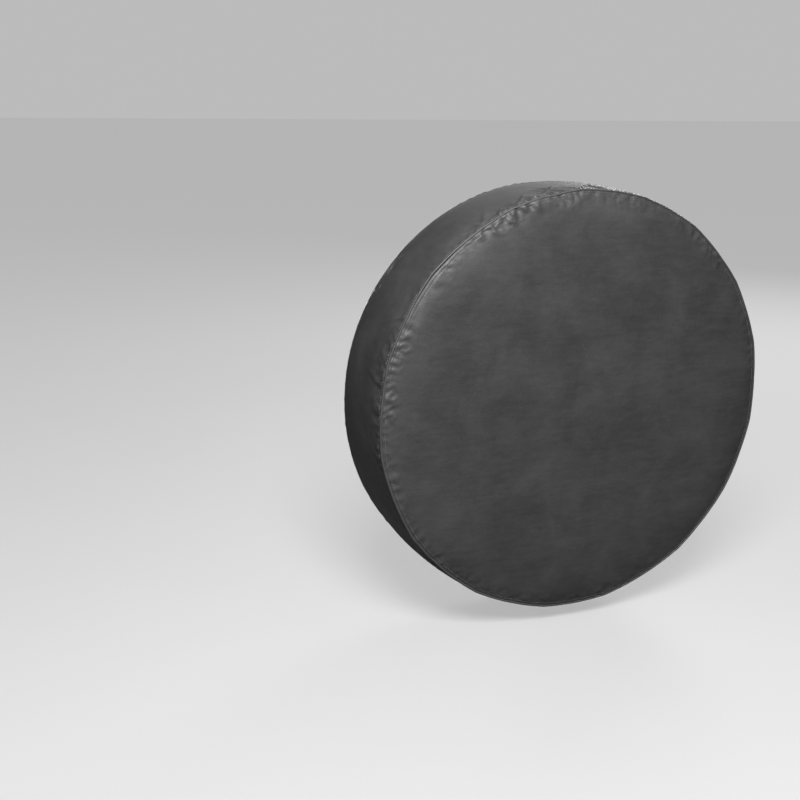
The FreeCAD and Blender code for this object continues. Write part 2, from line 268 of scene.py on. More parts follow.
def stitch_mesh(name, P, T, N, length, radius, mats, shape=None):
    """One short raised thread per stitch, its two ends diving into the cloth."""
    along = np.array([-0.5, -0.33, 0.0, 0.33, 0.5]) * length
    high = (np.array([-0.7, 0.35, 0.75, 0.35, -0.7]) if shape is None else np.array(shape)) * radius
    size = np.array([0.62, 0.95, 1.0, 0.95, 0.62]) * radius
    P, T, N = (np.asarray(v, float) for v in (P, T, N))
    T = T / np.linalg.norm(T, axis=1)[:, None]
    N = N - T * np.sum(N * T, 1)[:, None]
    N /= np.linalg.norm(N, axis=1)[:, None]
    B = np.cross(T, N)
    sides = 6
    ang = np.arange(sides) * TAU / sides
    c = P[:, None, :] + along[None, :, None] * T[:, None, :] + high[None, :, None] * N[:, None, :]
    ring = c[:, :, None, :] + size[None, :, None, None] * (np.cos(ang)[None, None, :, None] * B[:, None, None, :] + np.sin(ang)[None, None, :, None] * N[:, None, None, :])
    n, m = len(P), len(along)
    co = ring.reshape(-1, 3)
    k, kn = np.arange(sides), (np.arange(sides) + 1) % sides
    j = np.arange(m - 1)[:, None]
    one = np.stack([j * sides + k, (j + 1) * sides + k, (j + 1) * sides + kn, j * sides + kn], -1).reshape(-1, 4)
    off = (np.arange(n) * m * sides)[:, None, None]
    quads = (one[None] + off).reshape(-1, 4)
    ends = np.stack([k, ((m - 1) * sides + k)[::-1]])
    caps = (ends[None] + off).reshape(-1, sides)
    return make_mesh(name, co, [quads, caps], mats)


# ------------------------------------------------------------------ materials
def new_mat(name):
    m = bpy.data.materials.new(name)
    m.use_nodes = True
    nt = m.node_tree
    return m, nt, nt.nodes["Principled BSDF"]


class Nodes:
    """Short names for the shader nodes used here."""

    def __init__(self, nt):
        self.nt = nt
        self.tc = nt.nodes.new("ShaderNodeTexCoord")
        self.geo = nt.nodes.new("ShaderNodeNewGeometry")

    def link(self, a, b):
        self.nt.links.new(a, b)

    def coords(self, scale=(1, 1, 1)):
        m = self.nt.nodes.new("ShaderNodeMapping")
        m.inputs["Scale"].default_value = scale
        self.link(self.tc.outputs["Object"], m.inputs["Vector"])
        return m.outputs["Vector"]

    def noise(self, scale, detail=3, rough=0.5, vec=None, distort=0.0):
        n = self.nt.nodes.new("ShaderNodeTexNoise")
        n.inputs["Scale"].default_value = scale
        n.inputs["Detail"].default_value = detail
        n.inputs["Roughness"].default_value = rough
        n.inputs["Distortion"].default_value = distort
        self.link(vec if vec is not None else self.tc.outputs["Object"], n.inputs["Vector"])
        return n.outputs["Fac"]

    def voronoi(self, scale, feature="F1", vec=None, rand=1.0):
        n = self.nt.nodes.new("ShaderNodeTexVoronoi")
        n.feature = feature
        n.inputs["Scale"].default_value = scale
        n.inputs["Randomness"].default_value = rand
        self.link(vec if vec is not None else self.tc.outputs["Object"], n.inputs["Vector"])
        return n.outputs["Distance"]

    def wave(self, scale, direction="X", vec=None, distort=0.0, detail_scale=1.0):
        n = self.nt.nodes.new("ShaderNodeTexWave")
        n.wave_type, n.bands_direction, n.wave_profile = "BANDS", direction, "SIN"
        n.inputs["Scale"].default_value = scale
        n.inputs["Distortion"].default_value = distort
        n.inputs["Detail Scale"].default_value = detail_scale
        self.link(vec if vec is not None else self.tc.outputs["Object"], n.inputs["Vector"])
        return n.outputs["Fac"]

    def ramp(self, fac, lo, hi, a=0.0, b=1.0):
        n = self.nt.nodes.new("ShaderNodeMapRange")
        n.inputs["From Min"].default_value, n.inputs["From Max"].default_value = lo, hi
        n.inputs["To Min"].default_value, n.inputs["To Max"].default_value = a, b
        n.clamp = True
        self.link(fac, n.inputs["Value"])
        return n.outputs["Result"]

    def math(self, op, a, b=None):
        n = self.nt.nodes.new("ShaderNodeMath")
        n.operation = op
        for i, v in enumerate((a, b)):
            if v is None:
                continue
            if isinstance(v, (int, float)):
                n.inputs[i].default_value = v
            else:
                self.link(v, n.inputs[i])
        return n.outputs[0]

    def mix(self, fac, a, b):
        n = self.nt.nodes.new("ShaderNodeMix")
        n.data_type = "RGBA"
        for sock, v in ((n.inputs["Factor"], fac), (n.inputs["A"], a), (n.inputs["B"], b)):
            if isinstance(v, (int, float)):
                sock.default_value = v
            elif isinstance(v, tuple):
                sock.default_value = v + (1.0,)
            else:
                self.link(v, sock)
        return n.outputs["Result"]

    def bump(self, height, distance, strength=1.0, under=None):
        n = self.nt.nodes.new("ShaderNodeBump")
        n.inputs["Strength"].default_value = strength
        n.inputs["Distance"].default_value = distance
        self.link(height, n.inputs["Height"])
        if under is not None:
            self.link(under, n.inputs["Normal"])
        return n.outputs["Normal"]

    def up(self):
        s = self.nt.nodes.new("ShaderNodeSeparateXYZ")
        self.link(self.geo.outputs["Normal"], s.inputs[0])
        return s.outputs["Z"]


def coated_fabric(name="coated_fabric", dark=(0.020, 0.020, 0.021), dust_and_top_light_colour=(0.046, 0.046, 0.046)):
    m, nt, b = new_mat(name)
    k = Nodes(nt)
    cloud = k.noise(9.0, 5, 0.62, distort=0.4)
    streak = k.noise(1.0, 4, 0.6, vec=k.coords((26, 26, 120)))
    speck = k.noise(420.0, 2, 0.6)
    grain = k.voronoi(760.0, "SMOOTH_F1")
    fine = k.noise(2600.0, 2, 0.6)
    up = k.ramp(k.up(), -0.15, 0.95)
    dust_and_top_light = k.math("ADD", k.math("MULTIPLY", k.ramp(cloud, 0.38, 0.68), 0.34), k.math("MULTIPLY", k.ramp(streak, 0.36, 0.74), 0.22))
    # painted light: faces that turn upwards are mixed towards the lighter tone, as if lit from overhead; the cloud,
    # streaks, wear and specks in this mix are dust
    dust_and_top_light = k.math("ADD", dust_and_top_light, k.math("MULTIPLY", up, 0.34))
    worn = k.ramp(k.geo.outputs["Pointiness"], 0.505, 0.56, 0.0, 0.5)
    dust_and_top_light = k.math("ADD", dust_and_top_light, worn)
    dust_and_top_light = k.math("ADD", dust_and_top_light, k.math("MULTIPLY", k.ramp(speck, 0.4, 0.7), 0.10))
    # the dark base is mixed towards the lighter tone by dust, wear, specks and the painted light on upward faces
    k.link(k.mix(k.math("MINIMUM", dust_and_top_light, 1.0), dark, dust_and_top_light_colour), b.inputs["Base Color"])
    rough = k.math("ADD", k.ramp(cloud, 0.3, 0.7, 0.43, 0.55), k.ramp(speck, 0.3, 0.7, -0.03, 0.05))
    k.link(k.math("ADD", rough, k.math("MULTIPLY", up, 0.06)), b.inputs["Roughness"])
    b.inputs["Specular IOR Level"].default_value = 0.32
    height = k.math("ADD", k.math("MULTIPLY", grain, 1.0), k.math("MULTIPLY", fine, 0.35))
    n1 = k.bump(height, 0.00022, 0.55)
    wide = k.noise(60.0, 4, 0.6)
    k.link(k.bump(wide, 0.0016, 0.28, under=n1), b.inputs["Normal"])
    return m


def knit_backing():
    m, nt, b = new_mat("knit_backing")
    k = Nodes(nt)
    loops = k.math("ADD", k.voronoi(620, rand=0.55), k.math("MULTIPLY", k.noise(1500, 2, 0.6), 0.5))
    cloud = k.noise(10, 5, 0.6)
    k.link(k.mix(k.ramp(k.math("ADD", k.math("MULTIPLY", loops, 0.35), k.math("MULTIPLY", cloud, 0.8)), 0.35, 0.95), (0.060, 0.060, 0.061), (0.120, 0.119, 0.116)), b.inputs["Base Color"])
    k.link(k.ramp(cloud, 0.3, 0.7, 0.82, 0.95), b.inputs["Roughness"])
    b.inputs["Sheen Weight"].default_value = 0.25
    b.inputs["Sheen Roughness"].default_value = 0.5
    b.inputs["Specular IOR Level"].default_value = 0.25
    k.link(k.bump(loops, 0.0004, 0.6), b.inputs["Normal"])
    return m


def thread_mat():
    m, nt, b = new_mat("bonded_thread")
    k = Nodes(nt)
    ply = k.wave(520, "DIAGONAL", distort=0.5)
    cloud = k.noise(30, 3, 0.5)
    k.link(k.mix(k.ramp(k.math("ADD", k.math("MULTIPLY", ply, 0.4), cloud), 0.35, 1.1), (0.022, 0.022, 0.023), (0.085, 0.085, 0.083)), b.inputs["Base Color"])
    k.link(k.ramp(ply, 0, 1, 0.42, 0.62), b.inputs["Roughness"])
    b.inputs["Sheen Weight"].default_value = 0.15
    k.link(k.bump(ply, 0.0002, 0.7), b.inputs["Normal"])
    return m


def tape_mat():
    m, nt, b = new_mat("ribbed_tape")
    k = Nodes(nt)
    rib = k.noise(1.0, 1, 0.4, vec=k.coords((700, 60, 700)))
    weft = k.wave(420, "Y")
    cloud = k.noise(22, 4, 0.6)
    k.link(k.mix(k.ramp(cloud, 0.3, 0.7), (0.022, 0.022, 0.023), (0.06, 0.06, 0.059)), b.inputs["Base Color"])
    k.link(k.ramp(cloud, 0.3, 0.7, 0.68, 0.85), b.inputs["Roughness"])
    b.inputs["Sheen Weight"].default_value = 0.2
    k.link(k.bump(k.math("ADD", rib, k.math("MULTIPLY", weft, 0.5)), 0.0004, 0.6), b.inputs["Normal"])
    return m


def cord_mat():
    m, nt, b = new_mat("braided_cord")
    k = Nodes(nt)
    d1, d2 = k.wave(260, "DIAGONAL", distort=0.3), k.wave(260, "DIAGONAL", vec=k.coords((1, -1, 1)), distort=0.3)
    braid = k.math("MAXIMUM", d1, d2)
    fleck = k.noise(900, 2, 0.6)
    k.link(k.mix(k.ramp(k.math("MULTIPLY", braid, fleck), 0.25, 0.65), (0.014, 0.014, 0.015), (0.085, 0.085, 0.086)), b.inputs["Base Color"])
    k.link(k.ramp(fleck, 0.3, 0.7, 0.6, 0.82), b.inputs["Roughness"])
    b.inputs["Sheen Weight"].default_value = 0.3
    k.link(k.bump(braid, 0.0005, 0.7), b.inputs["Normal"])
    return m


def lacquer_mat():
    m, nt, b = new_mat("lacquered_brass")
    k = Nodes(nt)
    worn = k.math("MULTIPLY", k.ramp(k.geo.outputs["Pointiness"], 0.52, 0.62), k.ramp(k.noise(900, 4, 0.7), 0.45, 0.62))
    k.link(k.mix(worn, (0.018, 0.018, 0.020), (0.42, 0.33, 0.17)), b.inputs["Base Color"])
    k.link(k.ramp(worn, 0, 1, 0.15, 1.0), b.inputs["Metallic"])
    k.link(k.ramp(k.noise(300, 4, 0.6), 0.3, 0.7, 0.2, 0.38), b.inputs["Roughness"])
    k.link(k.bump(k.noise(1200, 3, 0.6), 0.00008, 0.5), b.inputs["Normal"])
    return m


def plastic_mat():
    m, nt, b = new_mat("spark_textured_plastic")
    k = Nodes(nt)
    spark = k.noise(2200, 3, 0.65)
    scuff = k.noise(140, 5, 0.7)
    worn = k.ramp(k.geo.outputs["Pointiness"], 0.53, 0.64, 0.0, 0.6)
    k.link(k.mix(k.math("MINIMUM", k.math("ADD", k.ramp(scuff, 0.52, 0.75, 0.0, 0.4), worn), 1.0), (0.016, 0.016, 0.017), (0.075, 0.075, 0.077)), b.inputs["Base Color"])
    k.link(k.ramp(scuff, 0.3, 0.7, 0.36, 0.52), b.inputs["Roughness"])
    k.link(k.bump(spark, 0.00012, 0.55), b.inputs["Normal"])
    return m


def steel_mat():
    m, nt, b = new_mat("drawn_steel_wire")
    k = Nodes(nt)
    draw = k.noise(1.0, 3, 0.6, vec=k.coords((300, 3000, 300)))
    b.inputs["Metallic"].default_value = 1.0
    k.link(k.mix(k.ramp(draw, 0.3, 0.7), (0.42, 0.42, 0.44), (0.68, 0.68, 0.70)), b.inputs["Base Color"])
    k.link(k.ramp(draw, 0.3, 0.7, 0.22, 0.38), b.inputs["Roughness"])
    k.link(k.bump(draw, 0.00004, 0.5), b.inputs["Normal"])
    return m


def label_mat():
    m, nt, b = new_mat("woven_satin_label")
    k = Nodes(nt)
    warp = k.wave(900, "DIAGONAL", distort=0.3)
    cloud = k.noise(60, 4, 0.6)
    k.link(k.mix(k.ramp(k.math("ADD", k.math("MULTIPLY", warp, 0.25), cloud), 0.4, 1.0), (0.50, 0.49, 0.46), (0.76, 0.75, 0.72)), b.inputs["Base Color"])
    k.link(k.ramp(warp, 0, 1, 0.38, 0.55), b.inputs["Roughness"])
    b.inputs["Sheen Weight"].default_value = 0.3
    k.link(k.bump(warp, 0.0001, 0.6), b.inputs["Normal"])
    return m


FABRIC = coated_fabric()
BACKING = knit_backing()
THREAD = thread_mat()
TAPE = tape_mat()
CORD = cord_mat()
LACQUER = lacquer_mat()
PLASTIC = plastic_mat()
STEEL = steel_mat()
LABEL = label_mat()

# ------------------------------------------------------------------ how the sewn seam wanders, and where the cloth puckers
deg = math.radians


def bump_at(th, centre, half):
    """1 at a place round the cover and 0 beyond half degrees from it."""
    d = np.abs((np.degrees(th) - centre + 180) % 360 - 180)
    return smooth(1 - d / half)


n_a, n_b, n_c, n_d = ring_noise(11, 9), ring_noise(12, 22), ring_noise(13, 61), ring_noise(14, 150)
m_a, m_b, m_c = ring_noise(21, 12), ring_noise(22, 37), ring_noise(23, 97)


def facets(th):
    """The seam runs a little straight between the places where the tyre holds it out."""
    knots = np.radians([-78, -52, -30, -9, 14, 33, 55, 73, 92, 113, 140, 165, 190, 214, 240, 262])
    t = np.asarray(th) % TAU
    k = np.sort(knots % TAU)
    ext = np.concatenate([[k[-1] - TAU], k, [k[0] + TAU]])
    i = np.clip(np.searchsorted(ext, t, side="right") - 1, 0, len(ext) - 2)
    half = (ext[i + 1] - ext[i]) / 2
    x = (t - ext[i]) / half - 1
    return -418.0 * (1 - np.cos(half)) * (1 - x ** 2) * 0.30


def crumple(th):
    """How badly the cloth is puckered along the seam, round the cover."""
    return (0.13 + 0.95 * bump_at(th, 116, 17) + 0.75 * bump_at(th, 97, 18) + 0.45 * bump_at(th, 76, 14) + 0.40 * bump_at(th, 46, 16)
            + 0.70 * bump_at(th, 163, 15) + 0.60 * bump_at(th, 184, 20) + 0.62 * bump_at(th, 222, 22) + 0.25 * bump_at(th, 285, 40))


def seam_dr(th):
    right = 0.55 + 0.45 * bump_at(th, 15, 80)
    e = np.clip(crumple(th) - 0.3, 0, 1)
    return (facets(th) * (0.6 + 0.4 * right) + right * (1.0 * n_a(th) + 0.55 * n_b(th)) + (0.22 + 0.75 * e + 0.9 * bump_at(th, 110, 20)) * n_c(th)
            + (0.06 + 0.4 * e + 0.5 * bump_at(th, 110, 20)) * n_d(th) + 0.8)


def seam_dy(th):
    e = np.clip(crumple(th) - 0.3, 0, 1)
    return 0.8 * m_a(th) + (0.45 + 0.7 * e + 1.6 * bump_at(th, 110, 20)) * m_b(th) + (0.2 + 0.9 * e + 0.9 * bump_at(th, 110, 20)) * m_c(th)


def proud(th):
    """How far the piping stands clear of the cloth: most along one clean stretch."""
    return 0.22 + 0.78 * bump_at(th, 138.5, 17)


def pucker_list(seed, gap_lo, gap_hi):
    rng = np.random.default_rng(seed)
    out, s = [], 0.0
    while s < TAU * 416:
        th = s / 416.0
        e = float(crumple(np.array(th)))
        out.append(dict(th=th, w=rng.uniform(2.8, 6.2) * (1.15 - 0.2 * e), len=rng.uniform(9, 30) * (0.55 + 0.75 * e),
                        amp=rng.uniform(0.35, 1.0) * e * 3.3, skew=rng.uniform(-0.55, 0.55), fur=rng.choice([-1.0, 1.0])))
        s += rng.uniform(gap_lo, gap_hi) * (1.35 - 0.55 * min(e, 1.0))
    return out


def pucker_field(th, d, puckers, reach=1.0, gain=1.0):
    """Height of the puckers at (angle, distance from the seam), for rows of points that share th."""
    h = np.zeros((len(d), len(th)))
    for p in puckers:
        arc = ((th - p["th"] + math.pi) % TAU - math.pi) * 416.0
        near = np.abs(arc) < 4 * p["w"] + abs(p["skew"]) * p["len"] * reach + 2
        if not near.any():
            continue
        a = arc[near][None, :] - p["skew"] * d[:, None] * (1 - 0.25 * d[:, None] / (p["len"] * reach))
        x = a / (p["w"] * (1 + 0.9 * smooth(d[:, None] / (p["len"] * reach))))
        across = np.exp(-x ** 2) - 0.62 * np.exp(-((x - 1.55 * p["fur"]) / 0.95) ** 2)
        run = (0.30 + 0.70 * smooth(d[:, None] / 6.0)) * (1 - smooth(d[:, None] / (p["len"] * reach))) ** 1.2
        h[:, near] += gain * p["amp"] * across * run
    return h


TH = np.radians(-45 + 360.0 / NTH * np.arange(NTH))      # the columns round the cover
DR, DY = seam_dr(TH), seam_dy(TH)
face_puckers, band_puckers, rear_puckers = pucker_list(101, 9, 24), pucker_list(202, 9, 26), pucker_list(303, 14, 34)
for pk in band_puckers:                                      # the cloth crumples hardest over the upper left
    pk["amp"] *= 1 + 0.9 * float(bump_at(pk["th"], 117, 15)) + 0.6 * float(bump_at(pk["th"], 99, 12))
for pk in face_puckers:
    more = float(bump_at(pk["th"], 112, 17))
    pk["amp"] *= 1 + 0.8 * more
    pk["w"] *= 1 + 0.25 * more

# ------------------------------------------------------------------ face panel
FACE_KNOTS = np.array([(0, -113.2), (120, -113.2), (220, -113.3), (300, -112.9), (335, -111.7), (362, -109.6), (384, -106.6), (398, -103.6),
                       (405, -101.5), (409.5, -99.9), (412.6, -98.5), (414.6, -97.4)])


def hermite(knots, x):
    """A smooth curve through the knots that doesn't overshoot."""
    kx, ky = knots[:, 0], knots[:, 1]
    s = np.diff(ky) / np.diff(kx)
    m = np.concatenate([[s[0]], np.where(s[:-1] * s[1:] > 0, 2 * s[:-1] * s[1:] / (s[:-1] + s[1:] + 1e-12), 0), [s[-1]]])
    i = np.clip(np.searchsorted(kx, x, side="right") - 1, 0, len(kx) - 2)
    h = kx[i + 1] - kx[i]
    t = np.clip((x - kx[i]) / h, 0, 1)
    return ((2 * t ** 3 - 3 * t ** 2 + 1) * ky[i] + (t ** 3 - 2 * t ** 2 + t) * h * m[i]
            + (-2 * t ** 3 + 3 * t ** 2) * ky[i + 1] + (t ** 3 - t ** 2) * h * m[i + 1])


def face_mottle(x, z):
    """Faint slack in the stretched face: long in x, short in z. Positive stands out."""
    t1, t2, t3, t4 = lattice(31, 64, 64), lattice(32, 64, 64), lattice(33, 128, 128), lattice(34, 64, 64)
    return (0.55 * noise2(t1, x / 150 + 7.3, z / 85 + 3.1) + 0.30 * noise2(t2, x / 62 + 11.7, z / 24 + 5.9)
            + 0.085 * noise2(t3, x / 27 + 20.1, z / 8.5 + 31.7) + 0.35 * noise2(t4, (x + 0.5 * z) / 95 + 9.9, (z - 0.5 * x) / 60 + 1.7))


def face_surface():
    n = NTH // 4
    g = np.linspace(-1, 1, n + 1)
    a, b = np.meshgrid(g, g, indexing="ij")
    big = np.abs(a) > np.abs(b)
    with np.errstate(divide="ignore", invalid="ignore"):
        rr = np.where(big, a, b)
        ph = np.where(big, (math.pi / 4) * (b / a), math.pi / 2 - (math.pi / 4) * (a / b))
    ph = np.nan_to_num(ph)
    r0 = 300.0
    x, z = r0 * rr * np.cos(ph), r0 * rr * np.sin(ph)
    r = np.hypot(x, z)
    y = hermite(FACE_KNOTS, r) - face_mottle(x, z) * smooth((409 - r) / 40 + 0.25)
    centre = np.stack([x, y, z], -1).reshape(-1, 3)
    rim_r = np.concatenate([np.linspace(300, 372, 13)[1:], np.linspace(372, 400, 13)[1:],
                            [401.9, 403.7, 405.3, 406.6, 407.7, 408.4, 409.0, 409.6, 410.3, 411.2, 412.1, 413.0, 413.8, 414.6]])
    base = np.stack([rim_r, hermite(FACE_KNOTS, rim_r)], -1)
    nrm = path_normals(base)
    d = 415.5 - rim_r
    h = pucker_field(TH, d, face_puckers, 1.0, 1.0)
    c1, c2 = lattice(41, 288, 64), lattice(42, 480, 64)
    u = (TH / TAU % 1.0)[None, :]
    env = crumple(TH)[None, :]
    h += env * (0.75 * noise2(c1, u * 288, d[:, None] / 13 + 3) + 0.34 * noise2(c2, u * 480, d[:, None] / 7 + 9)) * smooth(1.15 - d[:, None] / 38) * smooth(d[:, None] / 5 + 0.25)
    h += face_mottle(rim_r[:, None] * np.cos(TH)[None, :], rim_r[:, None] * np.sin(TH)[None, :]) * smooth((409 - rim_r[:, None]) / 40 + 0.25) * smooth((414 - rim_r[:, None]) / 6)
    h -= 0.35 * np.exp(-((rim_r[:, None] - 409.0) / 1.3) ** 2)                 # the row of stitching sinks in
    h *= smooth((416.6 - rim_r[:, None]) / 3.0)
    w = smooth((rim_r - 355) / 52)[:, None]
    R = rim_r[:, None] + DR[None, :] * w + h * nrm[:, 0][:, None] + smooth((rim_r - 404) / 10)[:, None] * 1.5 * (1 - proud(TH))[None, :]
    Y = base[:, 1][:, None] + DY[None, :] * smooth((rim_r - 385) / 28)[:, None] + h * nrm[:, 1][:, None]
    rim = np.stack([R * np.cos(TH)[None, :], Y, R * np.sin(TH)[None, :]], -1)
    # faces: the middle's grid, then the rings, joined along the grid's border
    k = np.arange(NTH)
    side, j = k // n, k % n
    border = np.select([side == 0, side == 1, side == 2, side == 3],
                       [n * (n + 1) + j, (n - j) * (n + 1) + n, 0 * (n + 1) + (n - j), j * (n + 1)])
    i0, j0 = np.meshgrid(np.arange(n), np.arange(n), indexing="ij")
    i0, j0 = i0.ravel(), j0.ravel()
    mid = np.stack([i0 * (n + 1) + j0, (i0 + 1) * (n + 1) + j0, (i0 + 1) * (n + 1) + j0 + 1, i0 * (n + 1) + j0 + 1], -1)
    base_i = len(centre)
    first = np.stack([border, base_i + k, base_i + (k + 1) % NTH, border[(k + 1) % NTH]], -1)
    rings = grid_faces(len(rim_r), NTH, True, base_i)
    return centre, [mid, first, rings], rim, rim_r


face_centre, face_groups, face_rim, face_r = face_surface()
i0 = int(np.searchsorted(face_r, 372))
rr = face_r[i0:]
hold = np.maximum(smooth((380 - rr) / 8), smooth((rr - 411.0) / 2.6))[:, None] * np.ones(NTH)
top = 1 - 0.5 * bump_at(TH, 78, 40)
patch = np.clip(0.62 + 1.1 * ring_noise(91, 33)(TH) + 0.7 * ring_noise(92, 83)(TH), 0, 1.35)
reach = 388 - 13 * ring_noise(93, 47)(TH)
slack = smooth((rr[:, None] - reach[None, :]) / 15) * np.clip((0.08 + 0.95 * crumple(TH)) * top * patch, 0, 1)[None, :]
keep = smooth((rr - 381) / 20)[:, None]
face_rim[i0:] = cloth_sheet("face_rim", face_rim[i0:], hold, slack, 0.05, 14, 5.0, keep)


# ------------------------------------------------------------------ side band
def band_crown(y):
    return BAND_OUT + 0.4 + CROWN * (1 - np.abs(np.asarray(y) / 98.0) ** 2.5)


def band_surface():
    front = [(402.0, -96.3), (405.0, -96.3), (408.5, -96.3), (411.5, -96.3), (413.6, -96.15), (415.0, -95.6), (415.9, -94.5), (416.3, -93.2), (416.7, -92.0)]
    ys = np.concatenate([[-91.2, -90.6, -90.0, -89.4, -88.7], np.linspace(-87, 87, 49), [88.6, 90.0, 91.2, 92.2, 93.0, 93.7]])
    mid = [(float(band_crown(y)), y) for y in ys]
    rear = [(416.5, 95.0), (416.2, 96.3), (415.7, 97.5), (415.0, 98.5), (414.2, 99.1), (413.4, 99.3)]
    path = np.array(front + mid + rear)
    nrm = path_normals(path)
    d_front = np.clip(path[:, 1] + 94.5, 0, None)
    d_rear = np.clip(98.5 - path[:, 1], 0, None)
    on = smooth((path[:, 1] + 95.5) / 4) * smooth((99.2 - path[:, 1]) / 3.0)
    h = pucker_field(TH, d_front, band_puckers, 1.05, 1.05) * smooth((path[:, 1] + 95.3) / 3)[:, None]
    h += pucker_field(TH, d_rear, rear_puckers, 0.8, 0.7) * smooth((99.0 - path[:, 1]) / 3)[:, None]
    env = crumple(TH)[None, :]
    u = (TH / TAU % 1.0)[None, :]
    c1, c2, c3, c4 = lattice(51, 260, 64), lattice(52, 440, 64), lattice(53, 30, 64), lattice(54, 84, 64)
    h += env * (0.8 * noise2(c1, u * 260, d_front[:, None] / 15 + 2) + 0.3 * noise2(c2, u * 440, d_front[:, None] / 8)) * smooth(1.1 - d_front[:, None] / 42)
    h += 0.75 * noise2(c3, u * 30, path[:, 1][:, None] / 60 + 4) * smooth(d_front[:, None] / 30) * smooth(d_rear[:, None] / 30)
    h += 0.30 * noise2(c4, u * 84, path[:, 1][:, None] / 33 + 4)
    # a few long slack folds that cross the band over the top, and two lower down
    for t0, y0, t1, y1, amp, wid in ((104.5, -93, 96.0, -40, 4.6, 3.6), (98.0, -93, 101.5, -28, -2.8, 3.8), (93.5, -93, 85.0, -48, 4.0, 3.4),
                                     (110.5, -93, 106.0, -52, 3.2, 3.4), (84.0, -93, 88.5, -50, 3.0, 3.6), (116.5, -93, 120.5, -60, 3.0, 3.2), (121.0, -93, 116.0, -30, 1.3, 5.5),
                                     (152.0, -93, 155.0, -40, 1.0, 5.0), (171.0, -93, 168.0, -25, 1.1, 6.0), (206.0, -93, 210.5, -35, 1.1, 5.5), (60.0, -93, 63.0, -50, 1.2, 4.5)):
        f = np.clip((path[:, 1] - y0) / (y1 - y0), 0, 1.3)
        centre = np.radians(t0 + (t1 - t0) * f)
        arc = ((TH[None, :] - centre[:, None] + math.pi) % TAU - math.pi) * 418
        run = smooth(f / 0.12) * (1 - smooth((f - 0.55) / 0.6))
        h += amp * (np.exp(-(arc / wid) ** 2) - 0.5 * np.exp(-((arc - 1.7 * wid) / (1.1 * wid)) ** 2)) * run[:, None]
    h *= on[:, None]
    for y0 in (-90.0, 93.0):
        h -= 0.35 * np.exp(-((path[:, 1] - y0) / 1.2) ** 2)[:, None]
    w_front = (1 - smooth((path[:, 1] + 92) / 60))[:, None]
    w_rear = smooth((path[:, 1] - 50) / 45)[:, None] * (1 - smooth((path[:, 1] - 96.5) / 2.5))[:, None]
    R = path[:, 0][:, None] + DR[None, :] * w_front + (0.45 * n_b(TH + 1.3) + 0.5 * n_a(TH + 2.1))[None, :] * w_rear + h * nrm[:, 0][:, None]
    Y = path[:, 1][:, None] + DY[None, :] * (1 - smooth((path[:, 1] + 95) / 35))[:, None] + h * nrm[:, 1][:, None]
    co = np.stack([R * np.cos(TH)[None, :], Y, R * np.sin(TH)[None, :]], -1)
    return co, path


band_rows, band_path = band_surface()
i0, i1 = int(np.argmin(np.abs(band_path[:, 1] + 94.5))), int(np.searchsorted(band_path[:, 1], -38))
yy = band_path[i0:i1, 1]
hold = np.maximum(smooth((-91.3 - yy) / 2.2), smooth((yy + 50) / 10))[:, None] * np.ones(NTH)
patch = np.clip(0.7 + 1.0 * ring_noise(94, 31)(TH) + 0.7 * ring_noise(95, 77)(TH), 0, 1.35)
reach = -56 + 14 * ring_noise(96, 41)(TH)
slack = smooth((reach[None, :] - yy[:, None]) / 20) * np.clip((0.05 + 1.05 * crumple(TH)) * patch, 0, 1)[None, :]
keep = smooth((-49 - yy) / 20)[:, None]
band_rows[i0:i1] = cloth_sheet("band_front", band_rows[i0:i1], hold, slack, 0.06, 14, 6.5, keep)

# ------------------------------------------------------------------ the two cloth shells
face = make_mesh("face_fabric", np.concatenate([face_centre, face_rim.reshape(-1, 3)]), face_groups, [FABRIC, BACKING])
thicken(face, 1.2, inner=1)
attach(face, "cover")
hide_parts("face_panel")

band = make_mesh("band_fabric", band_rows, [grid_faces(len(band_path), NTH)], [FABRIC, BACKING])
thicken(band, 1.2, inner=1)
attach(band, "cover")


def sample(rows, i, th):
    """Point, run direction and outward normal on row i of a ring grid at each angle th."""
    u = ((th - TH[0]) / TAU % 1.0) * NTH
    k = np.floor(u).astype(int) % NTH
    f = (u - np.floor(u))[:, None]
    kn = (k + 1) % NTH
    p = rows[i][k] * (1 - f) + rows[i][kn] * f
    t = rows[i][kn] - rows[i][k]
    across = (rows[i + 1][k] - rows[i - 1][k]) * (1 - f) + (rows[i + 1][kn] - rows[i - 1][kn]) * f
    n = np.cross(across, t)
    return p, t, n / np.linalg.norm(n, axis=1)[:, None]


# ------------------------------------------------------------------ piping round the seam
pn = 1440
pt = TAU * np.arange(pn) / pn
rng = np.random.default_rng(61)
pipe_line = polar(PIPE_R + seam_dr(pt) - 2.1 * (1 - proud(pt)), pt, PIPE_Y + seam_dy(pt) + 0.5 * (1 - proud(pt)))
pipe_rad = PIPE_RAD * (1 + 0.035 * ring_noise(62, 240)(pt) + 0.03 * ring_noise(63, 60)(pt))
piping = tube_object("seam_piping", pipe_line, pipe_rad, [FABRIC], sides=14, closed=True)
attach(piping, "cover")
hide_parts("piping_cord", "piping_strip")


# ------------------------------------------------------------------ rows of stitching on the cover
def ring_stitches(name, rows, i, radius_mm, node, pitch=5.0, inset=0.12):
    n = int(TAU * radius_mm / pitch)
    th = TAU * np.arange(n) / n
    p, t, nn = sample(rows, i, th)
    ob = stitch_mesh(name, p + nn * inset, t, nn, pitch * 0.80, 0.40, [THREAD])
    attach(ob, "cover")
    if node:
        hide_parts(node)
    return ob


ring_stitches("face_stitches", face_rim, int(np.argmin(np.abs(face_r - 409.0))), 409, "face_topstitch")
ring_stitches("band_front_stitches", band_rows, int(np.argmin(np.abs(band_path[:, 1] + 90.0))), 417, "band_front_topstitch")
ring_stitches("band_rear_stitches", band_rows, int(np.argmin(np.abs(band_path[:, 1] - 93.0))), 417, "band_rear_topstitch")

